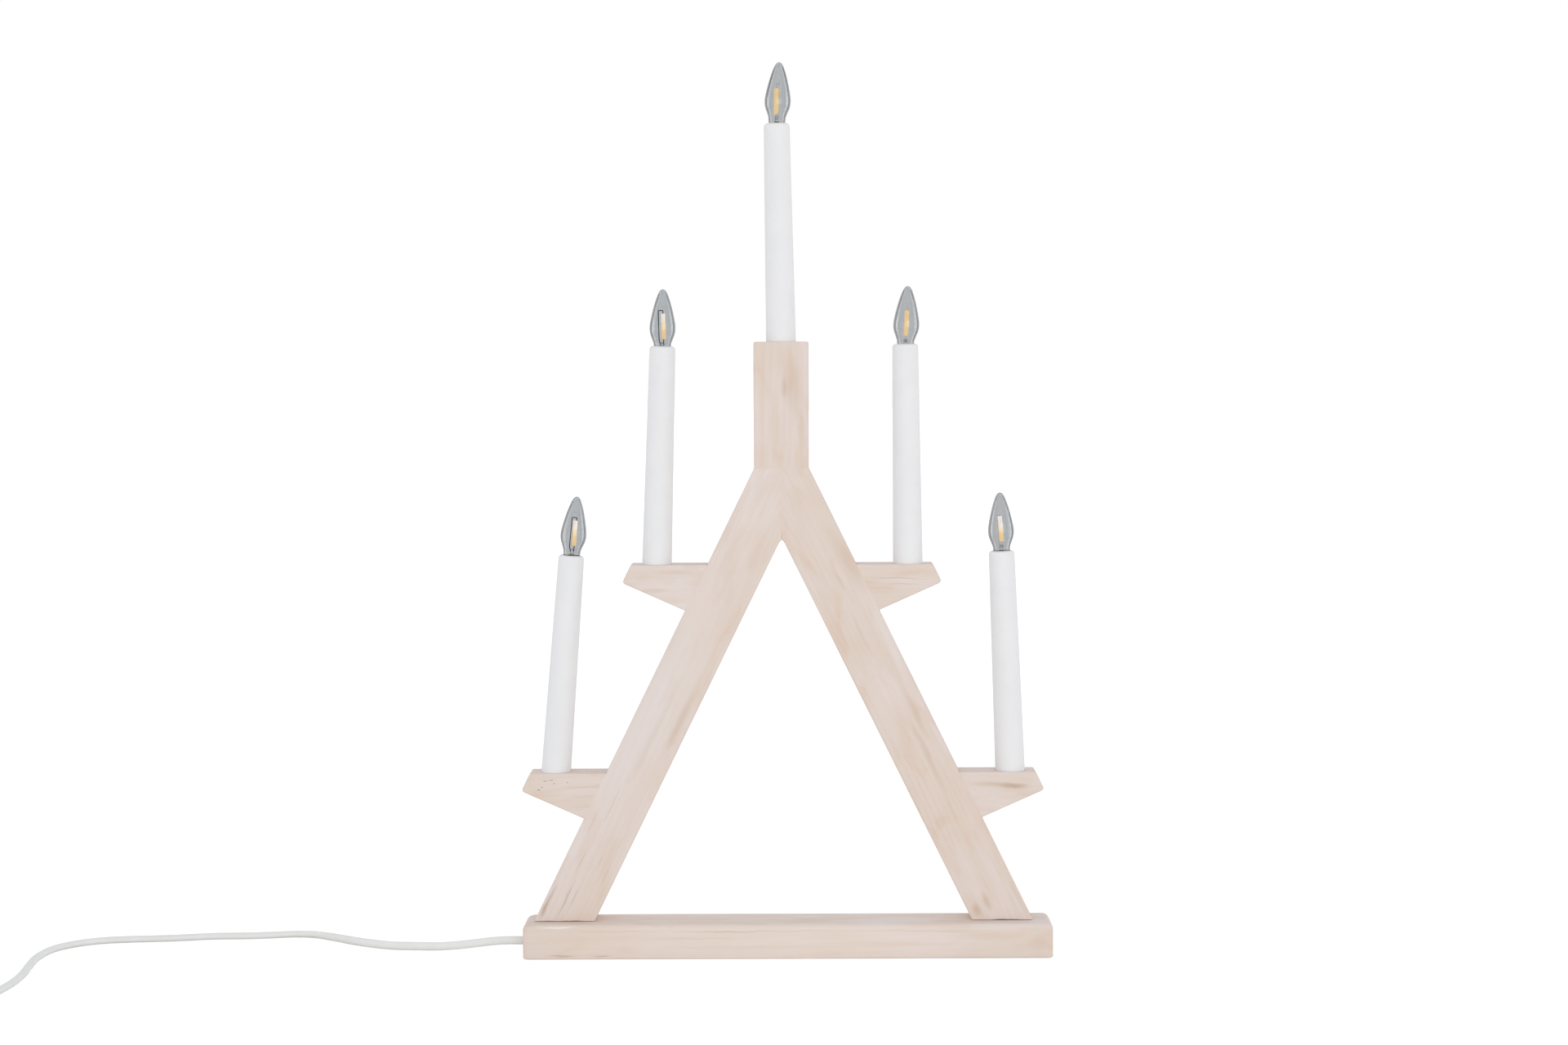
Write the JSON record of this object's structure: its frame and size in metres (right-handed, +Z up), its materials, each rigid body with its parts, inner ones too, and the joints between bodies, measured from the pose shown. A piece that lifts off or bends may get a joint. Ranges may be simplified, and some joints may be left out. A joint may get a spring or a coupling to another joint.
{
  "type": "electric advent candlestick",
  "caption": "Whitewashed pine A-frame candlestick on a base board, with side arms, candle tubes, small clear screw-in bulbs and a mains lead with plug.",
  "frame": {"origin": "middle of the base board's underside, on the surface it stands on", "axes": "+X to the viewer's right along the base, +Y away from the viewer, +Z up"},
  "size_m": [0.7036, 0.24, 0.5381],
  "materials": {
    "whitewashed_pine": "planed and sanded, thin white wash",
    "beech": "plain turned dowel",
    "hardboard": "smooth face",
    "white_plastic": "smooth, satin",
    "holder_plastic": "smooth, satin",
    "white_cord": "smooth vinyl sheath",
    "zinc_steel": "zinc plated",
    "brass": "drawn sheet",
    "clear_glass": "clear, blown",
    "led_filament": "amber coating"
  },
  "bodies": {
    "candlestick": {"base": "whitewashed_pine", "left_leg": "whitewashed_pine", "right_leg": "whitewashed_pine", "post": "whitewashed_pine", "lower_left_arm": "whitewashed_pine", "upper_left_arm": "whitewashed_pine", "upper_right_arm": "whitewashed_pine", "lower_right_arm": "whitewashed_pine", "base_cover": "hardboard", "terminal_block": "holder_plastic", "cord_clamp": "holder_plastic", "lower_left_lampholder": "holder_plastic", "upper_left_lampholder": "holder_plastic", "top_lampholder": "holder_plastic", "upper_right_lampholder": "holder_plastic", "lower_right_lampholder": "holder_plastic", "cord_inside": "white_cord", "cord_run": "white_cord", "cord_coil": "white_cord", "wire_base_to_lower_left": "white_cord", "wire_lower_left_to_upper_left": "white_cord", "wire_upper_left_to_top": "white_cord", "wire_top_to_upper_right": "white_cord", "wire_upper_right_to_lower_right": "white_cord", "wire_lower_right_to_base": "white_cord", "plug_body": "white_plastic", "lower_left_candle_tube": "white_plastic", "upper_left_candle_tube": "white_plastic", "top_candle_tube": "white_plastic", "upper_right_candle_tube": "white_plastic", "lower_right_candle_tube": "white_plastic", "plug_pin_left": "zinc_steel", "plug_pin_right": "zinc_steel", "left_foot_screw": "zinc_steel", "right_foot_screw": "zinc_steel", "post_dowel": "beech", "lower_left_dowel": "beech", "upper_left_dowel": "beech", "upper_right_dowel": "beech", "lower_right_dowel": "beech"},
    "lower_left_contact": {"lower_left_contact": "brass"},
    "lower_left_bulb": {"lower_left_bulb_cap": "brass", "lower_left_bulb_glass": "clear_glass", "lower_left_bulb_filament": "led_filament"},
    "upper_left_contact": {"upper_left_contact": "brass"},
    "upper_left_bulb": {"upper_left_bulb_cap": "brass", "upper_left_bulb_glass": "clear_glass", "upper_left_bulb_filament": "led_filament"},
    "top_contact": {"top_contact": "brass"},
    "top_bulb": {"top_bulb_cap": "brass", "top_bulb_glass": "clear_glass", "top_bulb_filament": "led_filament"},
    "upper_right_contact": {"upper_right_contact": "brass"},
    "upper_right_bulb": {"upper_right_bulb_cap": "brass", "upper_right_bulb_glass": "clear_glass", "upper_right_bulb_filament": "led_filament"},
    "lower_right_contact": {"lower_right_contact": "brass"},
    "lower_right_bulb": {"lower_right_bulb_cap": "brass", "lower_right_bulb_glass": "clear_glass", "lower_right_bulb_filament": "led_filament"}
  },
  "joints": [
    {"name": "lower_left_bulb_lift", "type": "slide", "parent": "candlestick", "child": "lower_left_contact", "axis": [0.0793, 0, 0.9968], "range_m": [0, 0.00635]},
    {"name": "lower_left_bulb_turn", "type": "hinge", "parent": "lower_left_contact", "child": "lower_left_bulb", "pos_m": [-0.12997, 0.0036, 0.24298], "axis": [0.0793, 0, 0.9968], "range_deg": [0, 1262]},
    {"name": "upper_left_bulb_lift", "type": "slide", "parent": "candlestick", "child": "upper_left_contact", "axis": [0.0323, 0, 0.9995], "range_m": [0, 0.00635]},
    {"name": "upper_left_bulb_turn", "type": "hinge", "parent": "upper_left_contact", "child": "upper_left_bulb", "pos_m": [-0.07403, 0.0036, 0.36893], "axis": [0.0323, 0, 0.9995], "range_deg": [0, 1262]},
    {"name": "top_bulb_lift", "type": "slide", "parent": "candlestick", "child": "top_contact", "axis": [-0.0157, 0, 0.9999], "range_m": [0, 0.00635]},
    {"name": "top_bulb_turn", "type": "hinge", "parent": "top_contact", "child": "top_bulb", "pos_m": [-0.00475, 0.0036, 0.50188], "axis": [-0.0157, 0, 0.9999], "range_deg": [0, 1262]},
    {"name": "upper_right_bulb_lift", "type": "slide", "parent": "candlestick", "child": "upper_right_contact", "axis": [-0.0105, 0, 0.9999], "range_m": [0, 0.00635]},
    {"name": "upper_right_bulb_turn", "type": "hinge", "parent": "upper_right_contact", "child": "upper_right_bulb", "pos_m": [0.07204, 0.0036, 0.36979], "axis": [-0.0105, 0, 0.9999], "range_deg": [0, 1262]},
    {"name": "lower_right_bulb_lift", "type": "slide", "parent": "candlestick", "child": "lower_right_contact", "axis": [-0.0393, 0, 0.9992], "range_m": [0, 0.00635]},
    {"name": "lower_right_bulb_turn", "type": "hinge", "parent": "lower_right_contact", "child": "lower_right_bulb", "pos_m": [0.1301, 0.0036, 0.2448], "axis": [-0.0393, 0, 0.9992], "range_deg": [0, 1262]}
  ],
  "couplings": [
    {"joint": "lower_left_bulb_turn", "follows": "lower_left_bulb_lift", "rad_per_m": 3463.7},
    {"joint": "upper_left_bulb_turn", "follows": "upper_left_bulb_lift", "rad_per_m": 3463.7},
    {"joint": "top_bulb_turn", "follows": "top_bulb_lift", "rad_per_m": 3463.7},
    {"joint": "upper_right_bulb_turn", "follows": "upper_right_bulb_lift", "rad_per_m": 3463.7},
    {"joint": "lower_right_bulb_turn", "follows": "lower_right_bulb_lift", "rad_per_m": 3463.7}
  ]
}
